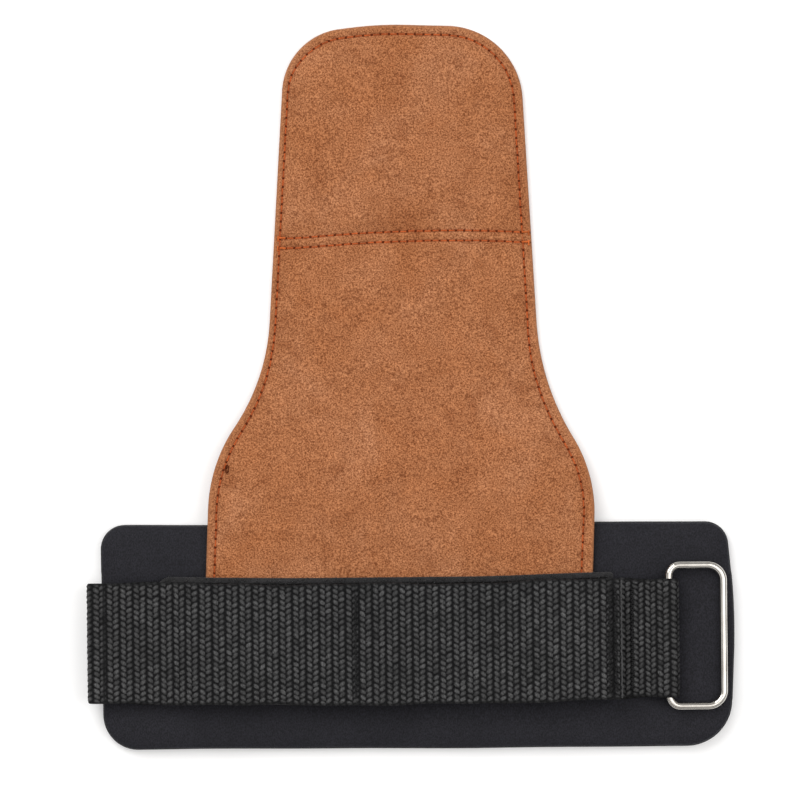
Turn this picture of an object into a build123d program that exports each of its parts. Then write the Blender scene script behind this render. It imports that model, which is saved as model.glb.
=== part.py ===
"""A weight-lifting hand grip: a padded suede palm flap sewn to a foam wrist band.

A webbing strap crosses the band. Its right end holds a wire ring, and its left end
folds over to make a tail that closes on itself with hook-and-loop tape.

The grip lies on its back. X runs along the wrist band, Y along the flap towards its
tip, and Z up out of the suede. The origin is the middle of the band's back face.
"""

import os
from build123d import *

# ---- Wrist band: a foam pad between two fabrics -----------------------------------
LINING = 0.7
FOAM = 3.6
COVER = 0.7
BAND_TOP = LINING + FOAM + COVER
BAND_CORNERS = [(-99.2, 34.4), (96.7, 35.9), (99.6, 8), (98.2, -34), (-98.1, -35.2)]
BAND_RADII = [7, 7, 200, 14, 10.5]

# ---- Palm flap: two suede plies with thin foam pads between them ------------------
PLY = 1.2
PAD = 1.2
FLAP_X = -4.6  # the flap's own centreline
FLAP_RIGHT = [(54.2, -12), (55.9, 51.1), (38.6, 79.7), (31.6, 191.6)]
FLAP_LEFT = [(-41.6, 188.9), (-47.4, 80.9), (-65.3, 54), (-67.4, -12)]
FLAP_TOP = [(-12.3, 192.6)]
FLAP_RADII = [3, 45, 79, 24, 112, 20.5, 66, 49, 3]
DRAPE = (37, 86)  # Y where the flap leaves the band's top, and where it lies on the table
LIFT = 0.3  # the flap lies this far above the band that it folds away from
GAP = 0.3  # between the ends of two neighbouring bodies

FOLD_Y = 21.3  # the flap folds just above the strap
SEAM_Y = 125.2  # the tip folds between two rows of stitches
PAD_INSET = 5
PALM_PAD = (42, 120)  # Y range of the foam in the palm
TIP_PAD = (132, 188)  # Y range of the foam in the tip

# ---- Threads ----------------------------------------------------------------------
THREAD_WIDE = 0.7
THREAD_HIGH = 0.25
ROW_END = 1.2  # a row of stitches along the edge stops this far from a fold
EDGE_INSET = 2.7  # from the suede's edge to the middle of its row of stitches
SEAM_HALF = 36.5  # half the length of the two rows across the flap
SEAM_ROWS = {"palm_seam_stitching": (122.6, 124.1, 123.9), "tip_seam_stitching": (126, 127.5, 127.3)}

# ---- Strap: 38 mm webbing, set very slightly askew on the band --------------------
WEBBING_WIDE = 38
WEBBING = 1.7
STRAP_Y = -1.15  # where the strap's centreline crosses X = 0
STRAP_SKEW = 0.57  # degrees
STRAP = Location((0, STRAP_Y, 0), (0, 0, STRAP_SKEW))
STRAP_TOP = Plane(STRAP)
STRAP_SIDE = Plane(STRAP * Location((0, 0, 0), (90, 0, 0)))
LEATHER_TOP = BAND_TOP + 2 * PLY

LOOP = 1.5  # the thickness of the soft, looped tape
LOOP_ENDS = (-81.8, 61.5)
LOOP_SIDES = (-18.7, 20.8)
LOOP_CORNER = 4.5
LOOP_INSET = 1.5  # from the tape's edge to its thread
HOOK = 1.2  # the thickness of the hooked tape
HOOK_ENDS = (-20.7, 61.2)
HOOK_WIDE = 34
HOOK_INSET = 1.5
TAPE_GAP = 0.6  # the hooks and loops hold the two tapes this far apart
TAIL_END = 64

FOLD_X = -101.2  # centre of the fold at the strap's left end
FOLD_LOW = BAND_TOP + WEBBING
TAIL_LOW = FOLD_LOW + LOOP + TAPE_GAP
FOLD_MID = (FOLD_LOW + TAIL_LOW) / 2
FOLD_INNER = (TAIL_LOW - FOLD_LOW) / 2
FOLD_OPEN = 8  # degrees of the fold left open on each side of the middle

# ---- Ring: bent wire in the loop at the strap's right end -------------------------
WIRE = 1.25
LOOP_INNER = 1.6  # the webbing bends round the wire at this radius
RING_X = 79.1
RING_Z = BAND_TOP + WEBBING + LOOP_INNER
RING_SPAN = 44.3  # between the middles of the two short sides
RING_DEEP = 17.2  # between the middles of the two long sides
RING_SHIFT = 0.7  # the ring has slid this far along its held bar
RING_CORNERS = (3, 5)  # the bends beside the webbing, and the outer two
RING_LEAN = 5.5  # degrees, so that the far bar rests just above the band
RETURN_END = 63.5  # the webbing's cut end, tucked under the ring loop
BARTACK_X = 67.5
BARTACK_WIDE = 1.2

TALL = 30  # taller than the grip, for cutting
WIDE = 160  # wider than the flap

# The strap's levels, as (start, end, height) along the strap. Ramps join them.
OVER_LEATHER = LEATHER_TOP + WEBBING
BASE_LEVELS = [
    (FOLD_X, -75, FOLD_LOW),
    (-68, 62, OVER_LEATHER),
    (66, 70, FOLD_LOW + WEBBING + 0.1),
]
LOOP_BED = [(LOOP_ENDS[0], -75, FOLD_LOW), (-68, LOOP_ENDS[1], OVER_LEATHER)]
TAIL_LEVELS = [
    (FOLD_X, -78, TAIL_LOW),
    (-68, -30, OVER_LEATHER + LOOP + TAPE_GAP),
    (-21, TAIL_END, OVER_LEATHER + LOOP + TAPE_GAP + HOOK),
]


def stepped(levels, rise=0.0):
    """Draws straight levels joined by smooth ramps, and returns the first and last points."""
    for (_, end, height), (start, _, step) in zip(levels, levels[1:]):
        Spline((end, height + rise), (start, step + rise), tangents=[(1, 0), (1, 0)])
    for start, end, height in levels:
        Line((start, height + rise), (end, height + rise))
    return (levels[0][0], levels[0][2] + rise), (levels[-1][1], levels[-1][2] + rise)


def between(low, high, low_rise=0.0, high_rise=0.0):
    """The closed profile between two stepped lines."""
    with BuildSketch() as profile:
        with BuildLine():
            low_start, low_end = stepped(low, low_rise)
            high_start, high_end = stepped(high, high_rise)
            Line(low_start, high_start)
            Line(low_end, high_end)
        make_face()
    return profile.sketch


def band_outline():
    """The wrist band's plan: a long panel with soft corners."""
    with BuildSketch() as plan:
        with BuildLine():
            FilletPolyline(*BAND_CORNERS, radius=BAND_RADII, close=True)
        make_face()
    return plan.sketch


def flap_outline(inset=0.0):
    """The flap's plan: a wide root, a narrower palm and a rounded tip."""
    with BuildSketch() as plan:
        with BuildLine():
            FilletPolyline(*FLAP_RIGHT, *FLAP_TOP, *FLAP_LEFT, radius=FLAP_RADII, close=True)
        make_face()
        if inset:
            offset(amount=-inset, mode=Mode.REPLACE)
    return plan.sketch


def flap_levels(over_band, on_table):
    """The flap's side view: level over the band, then down to the table."""
    return [(FOLD_Y - 1, DRAPE[0], BAND_TOP + over_band), (DRAPE[1], FLAP_TOP[0][1], on_table)]


def finish(part, label):
    """Labels a finished piece and writes its STEP file."""
    part.label = label
    export_step(part, f"parts/{label}.step")


def make_band():
    """The wrist band's three layers, from the skin outwards."""
    outline = band_outline()
    layers = {"wrist_lining": (0, LINING), "wrist_foam": (LINING, FOAM), "wrist_cover": (LINING + FOAM, COVER)}
    for label, (low, thick) in layers.items():
        with BuildPart() as layer:
            with BuildSketch(Plane.XY.offset(low)):
                add(outline)
            extrude(amount=thick)
        finish(layer.part, label)


def make_flap_root():
    """The two plies of suede sewn to the band under the strap."""
    outline = flap_outline()
    for label, low in {"flap_root_back": BAND_TOP, "flap_root_face": BAND_TOP + PLY}.items():
        with BuildPart() as ply:
            with BuildSketch(Plane.XY.offset(low)):
                add(outline)
                with Locations((FLAP_X, FOLD_Y - GAP / 2 - WIDE / 2)):
                    Rectangle(WIDE, WIDE, mode=Mode.INTERSECT)
            extrude(amount=PLY)
        finish(ply.part, label)


def flap_layer(y_range, low, high, inset=0.0, hollow=0.0):
    """One layer of the flap. low and high are its heights over the band and on the table.

    A hollow layer is only a rim of that width around the flap's edge.
    """
    start, end = y_range
    outline = flap_outline(inset)
    side = between(low, high)
    with BuildPart() as layer:
        with BuildSketch(Plane.XY):
            add(outline)
            if hollow:
                offset(amount=-hollow, mode=Mode.SUBTRACT)
            with Locations((FLAP_X, (start + end) / 2)):
                Rectangle(WIDE, end - start, mode=Mode.INTERSECT)
        extrude(amount=TALL)
        with BuildSketch(Plane.YZ):
            add(side)
        extrude(amount=WIDE, both=True, mode=Mode.INTERSECT)
    return layer.part


def make_flap_section(name, y_range, pad_range):
    """The back ply, foam pad and face ply of the palm or of the tip."""
    bottom = flap_levels(LIFT, 0)
    middle = flap_levels(LIFT + PLY, PLY)
    pad_top = flap_levels(LIFT + PLY + PAD, PLY + PAD)
    top = flap_levels(LIFT + 2 * PLY, 2 * PLY + PAD)
    pad = flap_layer(pad_range, middle, pad_top, PAD_INSET)
    with BuildPart() as face:
        add(flap_layer(y_range, middle, top))
        add(pad, mode=Mode.SUBTRACT)
    finish(flap_layer(y_range, bottom, middle), f"{name}_back")
    finish(pad, f"{name}_foam")
    finish(face.part, f"{name}_face")


def make_edge_stitching(label, y_range):
    """The row of thread just inside the suede's edge, over part of the flap's length."""
    top = flap_levels(LIFT + 2 * PLY, 2 * PLY + PAD)
    thread_top = [(start, end, height + THREAD_HIGH) for start, end, height in top]
    row = flap_layer(y_range, top, thread_top, EDGE_INSET - THREAD_WIDE / 2, THREAD_WIDE)
    finish(row, label)


def make_seam_rows():
    """The two bowed rows of stitches where the tip folds."""
    for label, (left, middle, right) in SEAM_ROWS.items():
        with BuildPart() as row:
            with BuildSketch(Plane.XY.offset(2 * PLY + PAD)):
                with BuildLine():
                    ThreePointArc((FLAP_X - SEAM_HALF, left), (FLAP_X, middle), (FLAP_X + SEAM_HALF, right))
                trace(line_width=THREAD_WIDE)
            extrude(amount=THREAD_HIGH)
        finish(row.part, label)


def make_strap_base():
    """The sewn webbing: the ring loop, the run over the band and half of the left fold."""
    with BuildPart() as strap:
        with BuildSketch(STRAP_SIDE):
            with BuildLine():
                _, top_end = stepped(BASE_LEVELS)
                _, low_end = stepped(BASE_LEVELS, -WEBBING)
                for radius, end in ((LOOP_INNER + WEBBING, top_end), (LOOP_INNER, low_end)):
                    Spline(end, (RING_X, RING_Z + radius), tangents=[(1, 0), (1, 0)])
                    CenterArc((RING_X, RING_Z), radius, 90, -180)
                    Line((RING_X, RING_Z - radius), (RETURN_END, RING_Z - radius))
                Line((RETURN_END, RING_Z - LOOP_INNER), (RETURN_END, RING_Z - LOOP_INNER - WEBBING))
                inner = CenterArc((FOLD_X, FOLD_MID), FOLD_INNER, 270, FOLD_OPEN - 90)
                outer = CenterArc((FOLD_X, FOLD_MID), FOLD_INNER + WEBBING, 270, FOLD_OPEN - 90)
                Line(inner @ 1, outer @ 1)
            make_face()
        extrude(amount=WEBBING_WIDE / 2, both=True)
    finish(strap.part, "strap_base")


def make_strap_tail():
    """The loose webbing: the other half of the fold and the run back over the band."""
    with BuildPart() as tail:
        with BuildSketch(STRAP_SIDE):
            with BuildLine():
                _, low_end = stepped(TAIL_LEVELS)
                _, top_end = stepped(TAIL_LEVELS, WEBBING)
                Line(low_end, top_end)
                inner = CenterArc((FOLD_X, FOLD_MID), FOLD_INNER, 90, 90 - FOLD_OPEN)
                outer = CenterArc((FOLD_X, FOLD_MID), FOLD_INNER + WEBBING, 90, 90 - FOLD_OPEN)
                Line(inner @ 1, outer @ 1)
            make_face()
        extrude(amount=WEBBING_WIDE / 2, both=True)
    finish(tail.part, "strap_tail")


def make_loop_tape():
    """The soft tape on the sewn webbing, and the frame of thread that holds it."""
    side = between(LOOP_BED, LOOP_BED, high_rise=LOOP)
    row_side = between(LOOP_BED, LOOP_BED, LOOP, LOOP + THREAD_HIGH)
    centre = (sum(LOOP_ENDS) / 2, sum(LOOP_SIDES) / 2)
    long, wide = LOOP_ENDS[1] - LOOP_ENDS[0], LOOP_SIDES[1] - LOOP_SIDES[0]
    with BuildPart() as tape:
        with BuildSketch(STRAP_SIDE):
            add(side)
        extrude(amount=WEBBING_WIDE, both=True)
        with BuildSketch(STRAP_TOP):
            with Locations(centre):
                corners = Rectangle(long, wide).vertices().sort_by(Axis.X)[:2]
            fillet(corners, radius=LOOP_CORNER)
        extrude(amount=TALL, mode=Mode.INTERSECT)
    finish(tape.part, "loop_tape")

    with BuildPart() as row:
        with BuildSketch(STRAP_SIDE):
            add(row_side)
        extrude(amount=WEBBING_WIDE, both=True)
        with BuildSketch(STRAP_TOP):
            with Locations(centre):
                Rectangle(long - 2 * LOOP_INSET, wide - 2 * LOOP_INSET)
                Rectangle(
                    long - 2 * LOOP_INSET - 2 * THREAD_WIDE,
                    wide - 2 * LOOP_INSET - 2 * THREAD_WIDE,
                    mode=Mode.SUBTRACT,
                )
        extrude(amount=TALL, mode=Mode.INTERSECT)
    finish(row.part, "loop_tape_stitching")


def make_hook_tape():
    """The hooked tape under the tail, and the two rows of thread that show on its top."""
    tail_low = TAIL_LEVELS[-1][2]
    with BuildPart() as tape:
        with BuildSketch(STRAP_TOP.offset(tail_low - HOOK)):
            with Locations((sum(HOOK_ENDS) / 2, 0)):
                Rectangle(HOOK_ENDS[1] - HOOK_ENDS[0], HOOK_WIDE)
        extrude(amount=HOOK)
    finish(tape.part, "hook_tape")

    with BuildPart() as rows:
        with BuildSketch(STRAP_TOP.offset(tail_low + WEBBING)):
            with Locations((HOOK_ENDS[0] + HOOK_INSET, 0), (HOOK_ENDS[1] - HOOK_INSET, 0)):
                Rectangle(THREAD_WIDE, HOOK_WIDE)
        extrude(amount=THREAD_HIGH)
    finish(rows.part, "hook_tape_stitching")


def make_bartack():
    """The dense row of thread that closes the ring loop."""
    with BuildPart() as tack:
        with BuildSketch(STRAP_TOP.offset(BASE_LEVELS[-1][2])):
            with Locations((BARTACK_X, 0)):
                Rectangle(BARTACK_WIDE, WEBBING_WIDE - 6)
        extrude(amount=THREAD_HIGH)
    finish(tack.part, "ring_loop_bartack")


def make_ring():
    """A closed rectangle of round wire, leaning back on the band."""
    leaning = STRAP * Location((RING_X, RING_SHIFT, RING_Z), (0, RING_LEAN, 0))
    half = RING_SPAN / 2
    corners = [(0, 0), (0, half), (RING_DEEP, half), (RING_DEEP, -half), (0, -half)]
    near, far = RING_CORNERS
    with BuildPart() as ring:
        with BuildLine(Plane(leaning)):
            FilletPolyline(*corners, radius=[0, near, far, far, near], close=True)
        with BuildSketch(Plane(leaning * Location((0, 0, 0), (-90, 0, 0)))):
            Circle(WIRE)
        sweep()
    finish(ring.part, "ring")


def main():
    """Builds every piece of the grip."""
    os.makedirs("parts", exist_ok=True)
    palm_range = (FOLD_Y + GAP / 2, SEAM_Y - GAP / 2)
    tip_range = (SEAM_Y + GAP / 2, FLAP_TOP[0][1])
    make_band()
    make_flap_root()
    make_flap_section("palm", palm_range, PALM_PAD)
    make_flap_section("tip", tip_range, TIP_PAD)
    make_edge_stitching("palm_stitching", (palm_range[0], SEAM_Y - ROW_END))
    make_edge_stitching("tip_stitching", (SEAM_Y + ROW_END, tip_range[1]))
    make_seam_rows()
    make_strap_base()
    make_strap_tail()
    make_loop_tape()
    make_hook_tape()
    make_bartack()
    make_ring()


main()
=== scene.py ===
"""The looks of the hand grip: suede, stitches, foam band, woven strap, tapes and ring.

Lengths are in millimetres, and become metres when a mesh is made. The strap's own
coordinates are s along it and w across it.
"""

from math import atan2, cos, pi, radians, sin, tan

import bpy
import numpy as np
from mathutils.bvhtree import BVHTree
from mathutils.geometry import delaunay_2d_cdt
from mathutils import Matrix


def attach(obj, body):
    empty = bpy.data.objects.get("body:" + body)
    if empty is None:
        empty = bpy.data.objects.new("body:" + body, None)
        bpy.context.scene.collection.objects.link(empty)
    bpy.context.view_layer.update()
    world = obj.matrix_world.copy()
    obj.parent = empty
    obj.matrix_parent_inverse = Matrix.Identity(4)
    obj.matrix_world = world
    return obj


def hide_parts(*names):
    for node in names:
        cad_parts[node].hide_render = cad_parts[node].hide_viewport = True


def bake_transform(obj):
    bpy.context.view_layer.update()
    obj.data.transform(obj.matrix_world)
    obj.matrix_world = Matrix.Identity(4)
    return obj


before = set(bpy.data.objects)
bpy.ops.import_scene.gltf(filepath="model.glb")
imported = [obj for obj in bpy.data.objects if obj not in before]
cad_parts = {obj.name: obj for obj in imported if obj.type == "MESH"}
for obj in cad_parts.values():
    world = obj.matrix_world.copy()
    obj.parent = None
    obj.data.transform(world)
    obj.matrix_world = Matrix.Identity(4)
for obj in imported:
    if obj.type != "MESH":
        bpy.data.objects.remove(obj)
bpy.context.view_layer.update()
rng = np.random.default_rng(7)

# ---- The object's dimensions, as in the CAD
BAND_TOP = 5.0
BAND_CORNERS = [(-99.2, 34.4), (-98.1, -35.2), (98.2, -34), (99.6, 8), (96.7, 35.9)]
BAND_RADII = [7, 10.5, 14, 200, 7]
FLAP_CORNERS = [
    (54.2, -12), (55.9, 51.1), (38.6, 79.7), (31.6, 191.6), (-12.3, 192.6),
    (-41.6, 188.9), (-47.4, 80.9), (-65.3, 54), (-67.4, -12),
]
FLAP_RADII = [3, 45, 79, 24, 112, 20.5, 66, 49, 3]
PLY = 1.2
HALVES_MEET = 85  # the y where the flap's two halves meet
DRAPE = (34, 92)  # the y where the flap leaves the band, and where it lies on the table
SIDE_STITCH, ROW_STITCH = 2.72, 2.55  # the stitches' lengths at the edge and across
ROW_GAP = 3.15
STRAP_Y = -1.15
STRAP_SKEW = radians(0.57)
WEBBING = 1.7
HALF_WIDE = 19.0
RIM = 0.55  # the webbing's rounded edge
FOLD_X, FOLD_MID, FOLD_MEAN = -101.2, 7.75, 1.9  # the turn's centre and mean radius
RING_X, RING_Z, RING_SHIFT, RING_LEAN = 79.1, 8.3, 0.7, radians(5.5)
TAIL_END = 64.0
BASE_TOP = [(FOLD_X, -75, 6.7), (-68, 62, 9.1), (66, 70, 8.5)]
TAIL_LOW = [(FOLD_X, -78, 8.8), (-68, -30, 11.2), (-21, TAIL_END, 12.4)]
LOOP_ENDS, LOOP_SIDES = (-81.8, 61.5), (-18.7, 20.8)
LOOP_BED = [(LOOP_ENDS[0], -75, 6.7), (-68, LOOP_ENDS[1], 9.1)]
HOOK_ENDS = (-20.7, 61.2)
HOOK_BACKING = 11.62  # the height that the hooks stand down from
TAIL_TOP = 14.02  # the height of the tail's upper side over the leather


# ---- Mesh helpers
def placed(name, data, place=(0, 0, 0)):
    """A new object in the scene."""
    obj = bpy.data.objects.new(name, data)
    obj.location = place
    bpy.context.scene.collection.objects.link(obj)
    return obj


def make_object(name, points, faces, material, attributes=None, normals=None):
    """A smooth-shaded mesh object from points in mm."""
    points = np.asarray(points, float)
    faces = [np.asarray(f, np.int32) for f in (faces if isinstance(faces, list) else [faces])]
    mesh = bpy.data.meshes.new(name)
    mesh.vertices.add(len(points))
    mesh.vertices.foreach_set("co", (points * 0.001).ravel())
    counts = np.concatenate([np.full(len(f), f.shape[1]) for f in faces if len(f)])
    mesh.loops.add(int(counts.sum()))
    mesh.loops.foreach_set("vertex_index", np.concatenate([f.ravel() for f in faces if len(f)]))
    mesh.polygons.add(len(counts))
    starts = np.concatenate([[0], np.cumsum(counts)[:-1]])
    mesh.polygons.foreach_set("loop_start", starts)
    mesh.polygons.foreach_set("use_smooth", np.ones(len(counts), bool))
    mesh.update(calc_edges=True)
    mesh.validate()
    for key, values in (attributes or {}).items():
        layer = mesh.attributes.new(key, "FLOAT", "POINT")
        layer.data.foreach_set("value", np.asarray(values, np.float32))
    if normals is not None:
        mesh.normals_split_custom_set_from_vertices(normals)
    mesh.materials.append(material)
    return placed(name, mesh)


def unit(vectors):
    """The same vectors with a length of 1."""
    return vectors / np.maximum(np.linalg.norm(vectors, axis=-1, keepdims=True), 1e-12)


def lengths(line):
    """The distance along a polyline of each of its points."""
    return np.concatenate([[0], np.cumsum(np.linalg.norm(np.diff(line, axis=0), axis=1))])


def filleted(corners, radii, step):
    """A closed polyline with rounded corners, as evenly spaced points, anticlockwise."""
    corners = np.array(corners, float)
    raw = []
    for i, (corner, radius) in enumerate(zip(corners, radii)):
        before = unit(corners[i - 1] - corner)
        after = unit(corners[(i + 1) % len(corners)] - corner)
        half = np.arccos(np.clip(before @ after, -1, 1)) / 2
        middle = corner + unit(before + after) * radius / sin(half)
        first = corner + before * radius / tan(half) - middle
        last = corner + after * radius / tan(half) - middle
        start, end = atan2(first[1], first[0]), atan2(last[1], last[0])
        turn = (end - start + pi) % (2 * pi) - pi
        angles = start + turn * np.linspace(0, 1, 40)
        raw += list(middle + radius * np.stack([np.cos(angles), np.sin(angles)], 1))
    return resampled(np.array(raw), step)


def resampled(line, step, closed=True):
    """The same polyline in equal steps."""
    line = np.vstack([line, line[:1]]) if closed else line
    length = lengths(line)
    count = max(2, round(length[-1] / step))
    at = np.linspace(0, length[-1], count + 1)
    result = np.stack([np.interp(at, length, line[:, k]) for k in range(line.shape[1])], 1)
    return result[:-1] if closed else result


def inward(outline):
    """The unit normals of a closed anticlockwise outline, pointing inwards."""
    along = unit(np.roll(outline, -1, 0) - np.roll(outline, 1, 0))
    return np.stack([-along[:, 1], along[:, 0]], 1)


def edge_distance(points, outline):
    """Each point's distance from a closed outline."""
    edge = np.roll(outline, -1, 0) - outline
    found = []
    for start in range(0, len(points), 4000):
        part = points[start : start + 4000, None] - outline
        share = np.clip((part * edge).sum(2) / (edge**2).sum(1), 0, 1)
        found.append(np.linalg.norm(part - share[..., None] * edge, axis=2).min(1))
    return np.concatenate(found)


def nearest(points, x, y):
    """The index of the point nearest to a place."""
    return int(np.argmin(np.hypot(points[:, 0] - x, points[:, 1] - y)))


def inside(points, outline):
    """Which points are inside a closed outline."""
    x, y = points[:, 0], points[:, 1]
    found = np.zeros(len(points), bool)
    for (x0, y0), (x1, y1) in zip(outline, np.roll(outline, -1, 0)):
        crosses = (y0 > y) != (y1 > y)
        found ^= crosses & (x < (x1 - x0) * (y - y0) / (y1 - y0 + 1e-12) + x0)
    return found


def smooth(t):
    """Goes gently from 0 to 1."""
    t = np.clip(t, 0, 1)
    return t * t * (3 - 2 * t)


def waves(x, y, sizes, seed):
    """Soft irregular undulation between about -1 and 1, from sines in mixed directions."""
    local = np.random.default_rng(seed)
    total = np.zeros_like(x)
    for size in sizes:
        for _ in range(5):
            angle, phase = local.uniform(0, 2 * pi, 2)
            stretch = size * local.uniform(0.7, 1.4)
            total += np.sin((x * cos(angle) + y * sin(angle)) * 2 * pi / stretch + phase)
    return total / (5 * len(sizes)) ** 0.5


def plan_mesh(outline, insets, spacing, extra=None, dividing=None):
    """Triangulates a plan: loops near its edge, and a jittered grid further in.

    extra is (a curve, how far the grid stays from it, the points to use along it), and
    dividing the indices of the two outline points that a straight line of edges joins.
    Returns the points (the outline's first), triangles and each point's edge distance.
    """
    normal = inward(outline)
    groups = [outline]
    for inset in insets:
        loop = outline + normal * inset
        keep = edge_distance(loop, outline) > inset * 0.97
        groups.append(loop[keep][:: 1 if inset < 4 else 2])
    low, high = outline.min(0), outline.max(0)
    xs = np.arange(low[0], high[0], spacing)
    ys = np.arange(low[1], high[1], spacing * 0.87)
    grid_x, grid_y = np.meshgrid(xs, ys)
    grid_x[::2] += spacing / 2
    grid = np.stack([grid_x.ravel(), grid_y.ravel()], 1)
    grid = grid[inside(grid, outline)]
    grid = grid[edge_distance(grid, outline) > insets[-1] + spacing * 0.6]
    edges = []
    if extra:
        curve, clearance, rows = extra
        grid = grid[np.abs(grid[:, 1] - np.interp(grid[:, 0], *curve)) >= clearance]
        groups.append(rows)
    if dividing:
        line = np.linspace(outline[dividing[0]], outline[dividing[1]], 120)[1:-1]
        level = np.interp(grid[:, 0], line[[0, -1], 0], line[[0, -1], 1])
        grid = grid[np.abs(grid[:, 1] - level) > 0.5]
    groups.append(grid)
    points = np.concatenate(groups)
    if dividing:
        way = unit(line[-1] - line[0])
        far = np.abs((points - line[0]) @ np.array([-way[1], way[0]])) > 0.3
        far[: len(outline)] = True
        points = points[far]
        first = len(points)
        points = np.concatenate([points, line])
        chain = [dividing[0], *range(first, first + len(line)), dividing[1]]
        edges = list(zip(chain, chain[1:]))
    coords = [tuple(p) for p in points]
    result = delaunay_2d_cdt(coords, edges, [list(range(len(outline)))], 1, 1e-6)
    # The outline's own points are moved to the front again, in their first order.
    first = [next((k for k in old if k < len(outline)), len(coords)) for old in result[3]]
    sequence = np.argsort(first, kind="stable")
    triangles = np.argsort(sequence)[np.array([f for f in result[2] if len(f) == 3])]
    points = np.array(result[0])[sequence]
    a, b, c = (points[triangles[:, k]] for k in range(3))
    flip = (b[:, 0] - a[:, 0]) * (c[:, 1] - a[:, 1]) - (b[:, 1] - a[:, 1]) * (c[:, 0] - a[:, 0]) < 0
    triangles[flip] = triangles[flip][:, ::-1]
    distance = edge_distance(points, outline)
    distance[: len(outline)] = 0
    return points, triangles, distance


def quads_between(a, b):
    """Quads between rings of indices, whose last axis goes round."""
    return np.stack([a, np.roll(a, -1, -1), np.roll(b, -1, -1), b], -1).reshape(-1, 4)


def shell_faces(triangles, count, rim, walls):
    """Triangles of a plan's upper and lower face, and quads down the walls between them."""
    edge = np.arange(rim)
    levels = [edge, *(2 * count + k * rim + edge for k in range(walls)), count + edge]
    quads = [np.column_stack([a, b, np.roll(b, -1), np.roll(a, -1)]) for a, b in zip(levels, levels[1:])]
    return np.concatenate([triangles, triangles[:, ::-1] + count]), np.concatenate(quads)


def vertex_normals(points, triangles):
    """Area-weighted vertex normals."""
    a, b, c = (points[triangles[:, k]] for k in range(3))
    face = np.cross(b - a, c - a)
    normals = np.zeros_like(points)
    for k in range(3):
        np.add.at(normals, triangles[:, k], face)
    return unit(normals)


def slab(name, plan, top, bottom, normals, material, belly=0.0, walls=3, turned=None):
    """A closed solid between two height fields over one plan, with a rounded side wall.

    normals are the outline's own, and turned places the finished points in the frame.
    """
    points, triangles = plan
    upper = np.column_stack([points, top])
    lower = np.column_stack([points, bottom])
    n = len(normals)
    rings = []
    for k in range(1, walls + 1):
        share = k / (walls + 1)
        ring = upper[:n] * (1 - share) + lower[:n] * share
        ring[:, :2] -= normals * (belly * sin(pi * share))
        rings.append(ring)
    verts = np.concatenate([upper, lower, *rings])
    if turned:
        verts = turned(verts)
    return make_object(name, verts, [*shell_faces(triangles, len(points), n, walls)], material)


def tube(line, radius, sides, closed=False, twist=0.0, lobes=0.0, taper=0):
    """Points and quads of a round tube along a 3-D line. lobes and twist make it a plied cord."""
    line = np.asarray(line, float)
    count = len(line)
    along = np.roll(line, -1, 0) - np.roll(line, 1, 0) if closed else np.gradient(line, axis=0)
    along = unit(along)
    up = np.tile([0.0, 0.0, 1.0], (count, 1))
    up[np.abs(along[:, 2]) > 0.9] = [0, 1, 0]
    side = unit(np.cross(up, along))
    up = np.cross(along, side)
    angle = np.linspace(0, 2 * pi, sides, endpoint=False)
    size = np.full(count, radius)
    if taper:
        share = np.linspace(0, 1, count)
        size = radius * np.clip(np.minimum(share, 1 - share) * taper + 0.35, 0, 1) ** 0.6
    swirl = np.arange(count)[:, None] * twist
    shape = size[:, None] * (1 + lobes * np.cos(2 * angle[None] + swirl))
    ring = line[:, None] + shape[..., None] * (
        side[:, None] * np.cos(angle)[None, :, None] + up[:, None] * np.sin(angle)[None, :, None]
    )
    index = np.arange(count * sides).reshape(count, sides)
    following = np.roll(index, -1, 0) if closed else index[1:]
    current = index if closed else index[:-1]
    return ring.reshape(-1, 3), quads_between(current, following)


def finished(piece, slot, body, *nodes):
    """Attaches a piece to its body, if it is given one, and hides the CAD nodes it stands for. Its
    finish, slot, is not used.
    """
    if body:
        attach(piece, body)
    if nodes:
        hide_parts(*nodes)


def joined(pieces):
    """Several (points, quads) as one."""
    points, faces, start = [], [], 0
    for part, quads in pieces:
        points.append(part)
        faces.append(quads + start)
        start += len(part)
    return np.concatenate(points), np.concatenate(faces)


# ---- Materials
def set_stops(ramp, stops):
    """Gives a colour ramp its stops, each a place with a colour or a grey level."""
    elements = ramp.color_ramp.elements
    while len(elements) < len(stops):
        elements.new(0.5)
    for element, (place, colour) in zip(elements, stops):
        element.position = place
        element.color = (colour,) * 3 + (1,) if isinstance(colour, float) else (*colour, 1)


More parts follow.
